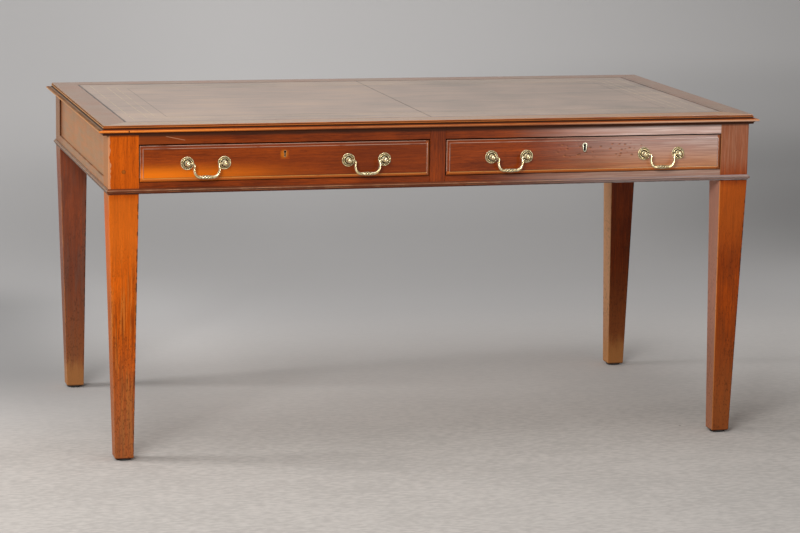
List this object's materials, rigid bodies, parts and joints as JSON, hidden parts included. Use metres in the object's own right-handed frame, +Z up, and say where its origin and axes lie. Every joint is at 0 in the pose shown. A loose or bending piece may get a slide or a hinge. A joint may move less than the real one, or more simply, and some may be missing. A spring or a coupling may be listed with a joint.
{
  "type": "writing table",
  "caption": "Rectangular mahogany writing table with a leather-lined moulded top, frieze drawers with swan-neck bail handles and square tapered legs.",
  "frame": {"origin": "on the floor under the middle of the table's frame; the handles stand out in front, so the middle of the bounding box lies about 6 mm nearer the sitter", "axes": "+X along the length to the sitter's right, +Y away from the sitter towards the back, +Z up"},
  "size_m": [1.552, 0.8707, 0.765],
  "materials": {
    "mahogany": "aged polish, slightly worn",
    "drawer_mahogany": "aged polish, slightly worn",
    "lining_oak": "bare, darkened by age",
    "carcase_oak": "bare, darkened by age",
    "leather": "waxed hide, worn, with tooled lines",
    "brass": "aged, dull in the hollows",
    "screw_steel": "darkened",
    "glide_plastic": "matt black"
  },
  "bodies": {
    "table_frame": {"back_rail": "mahogany", "drawer_divider": "mahogany", "drawer_stops": "carcase_oak", "end_rail_left": "mahogany", "end_rail_right": "mahogany", "frieze_bead_back": "mahogany", "frieze_bead_front": "mahogany", "frieze_bead_left": "mahogany", "frieze_bead_right": "mahogany", "kickers": "carcase_oak", "leather_left": "leather", "leather_right": "leather", "leg_back_left": "mahogany", "leg_back_right": "mahogany", "leg_front_left": "mahogany", "leg_front_right": "mahogany", "leg_glides": "glide_plastic", "lower_rail_left": "mahogany", "lower_rail_right": "mahogany", "runner_centre": "carcase_oak", "runner_left": "carcase_oak", "runner_right": "carcase_oak", "top_border_back": "mahogany", "top_border_front": "mahogany", "top_border_left": "mahogany", "top_border_right": "mahogany", "top_buttons": "carcase_oak", "top_ground": "carcase_oak", "top_rail_left": "mahogany", "top_rail_right": "mahogany", "top_screws": "screw_steel"},
    "left_drawer": {"left_drawer_back": "lining_oak", "left_drawer_bottom": "lining_oak", "left_drawer_front": "drawer_mahogany", "left_drawer_side_near_leg": "lining_oak", "left_drawer_side_near_middle": "lining_oak", "left_drawer_slips": "lining_oak", "left_handle_nuts": "brass", "left_handle_posts": "brass", "left_handle_rosettes": "brass", "left_keyhole_patch": "drawer_mahogany", "left_lock_case": "brass"},
    "left_bail_near_leg": {"left_bail_near_leg": "brass"},
    "left_bail_near_middle": {"left_bail_near_middle": "brass"},
    "left_lock_bolt": {"left_lock_bolt": "brass"},
    "right_drawer": {"right_drawer_back": "lining_oak", "right_drawer_bottom": "lining_oak", "right_drawer_front": "drawer_mahogany", "right_drawer_side_near_leg": "lining_oak", "right_drawer_side_near_middle": "lining_oak", "right_drawer_slips": "lining_oak", "right_escutcheon": "brass", "right_handle_nuts": "brass", "right_handle_posts": "brass", "right_handle_rosettes": "brass", "right_lock_case": "brass"},
    "right_bail_near_leg": {"right_bail_near_leg": "brass"},
    "right_bail_near_middle": {"right_bail_near_middle": "brass"},
    "right_lock_bolt": {"right_lock_bolt": "brass"}
  },
  "joints": [
    {"name": "left_drawer_slide", "type": "slide", "parent": "table_frame", "child": "left_drawer", "axis": [0, -1, 0], "range_m": [0, 0.4]},
    {"name": "left_bail_near_leg_swing", "type": "hinge", "parent": "left_drawer", "child": "left_bail_near_leg", "pos_m": [-0.53625, -0.4355, 0.6787], "axis": [-1, 0, 0], "range_deg": [-14, 194]},
    {"name": "left_bail_near_middle_swing", "type": "hinge", "parent": "left_drawer", "child": "left_bail_near_middle", "pos_m": [-0.16825, -0.4355, 0.6787], "axis": [-1, 0, 0], "range_deg": [-14, 194]},
    {"name": "left_lock_bolt_throw", "type": "slide", "parent": "left_drawer", "child": "left_lock_bolt", "axis": [0, 0, 1], "range_m": [0, 0.007]},
    {"name": "right_drawer_slide", "type": "slide", "parent": "table_frame", "child": "right_drawer", "axis": [0, -1, 0], "range_m": [0, 0.4]},
    {"name": "right_bail_near_leg_swing", "type": "hinge", "parent": "right_drawer", "child": "right_bail_near_leg", "pos_m": [0.53625, -0.4355, 0.6787], "axis": [-1, 0, 0], "range_deg": [-14, 194]},
    {"name": "right_bail_near_middle_swing", "type": "hinge", "parent": "right_drawer", "child": "right_bail_near_middle", "pos_m": [0.16825, -0.4355, 0.6787], "axis": [-1, 0, 0], "range_deg": [-14, 194]},
    {"name": "right_lock_bolt_throw", "type": "slide", "parent": "right_drawer", "child": "right_lock_bolt", "axis": [0, 0, 1], "range_m": [0, 0.007]}
  ]
}
